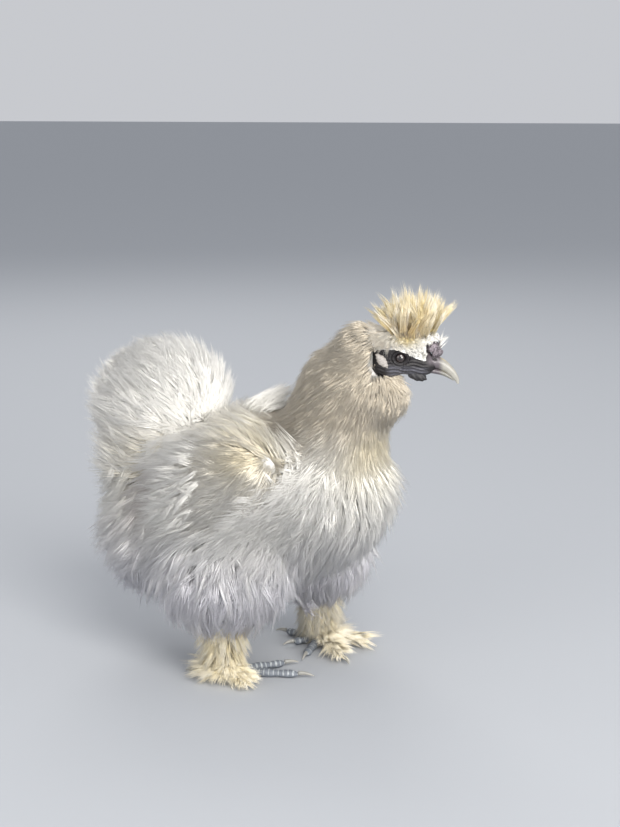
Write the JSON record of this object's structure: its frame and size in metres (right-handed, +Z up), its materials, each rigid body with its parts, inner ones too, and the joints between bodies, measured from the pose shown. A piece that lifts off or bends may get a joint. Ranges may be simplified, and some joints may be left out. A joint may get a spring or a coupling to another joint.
{
  "type": "silkie chicken",
  "caption": "Still model of a standing crested chicken in a long silky white coat, with feathered feet, a cushion comb and a round cushion tail.",
  "frame": {"origin": "on the floor, under the middle of the bird's box", "axes": "+X the way the trunk faces, from tail to breast; +Y to the bird's left; +Z up"},
  "size_m": [0.323, 0.2022, 0.3378],
  "materials": {
    "white_feather": "soft silky down, white with a lilac cast in the shade",
    "hackle_feather": "smooth cream and beige hackle",
    "crest_feather": "cream yellow spiky tufts with white tips",
    "foot_feather": "cream feathering on shanks and feet",
    "face_skin": "dark mulberry skin, finely wrinkled",
    "comb_skin": "dark mulberry grey, lumpy",
    "earlobe_skin": "pale blue grey",
    "bill_horn": "pale slate horn",
    "claw_horn": "pale grey horn",
    "eye": "dark and wet"
  },
  "bodies": {
    "root": {"torso": "white_feather", "neck": "hackle_feather", "tail": "white_feather", "crest": "crest_feather", "wing_right": "white_feather", "wing_left": "white_feather", "thigh_right": "white_feather", "thigh_left": "white_feather", "shank_right": "foot_feather", "shank_left": "foot_feather", "foot_right": "foot_feather", "foot_left": "foot_feather", "head": "face_skin", "bill_upper": "bill_horn", "bill_lower": "bill_horn", "comb": "comb_skin", "eye_right": "eye", "eye_left": "eye", "earlobe_right": "earlobe_skin", "earlobe_left": "earlobe_skin", "wattle_right": "comb_skin", "wattle_left": "comb_skin", "claw_right_1": "claw_horn", "claw_right_2": "claw_horn", "claw_right_3": "claw_horn", "claw_right_4": "claw_horn", "claw_right_5": "claw_horn", "claw_left_1": "claw_horn", "claw_left_2": "claw_horn", "claw_left_3": "claw_horn", "claw_left_4": "claw_horn", "claw_left_5": "claw_horn"}
  },
  "joints": []
}
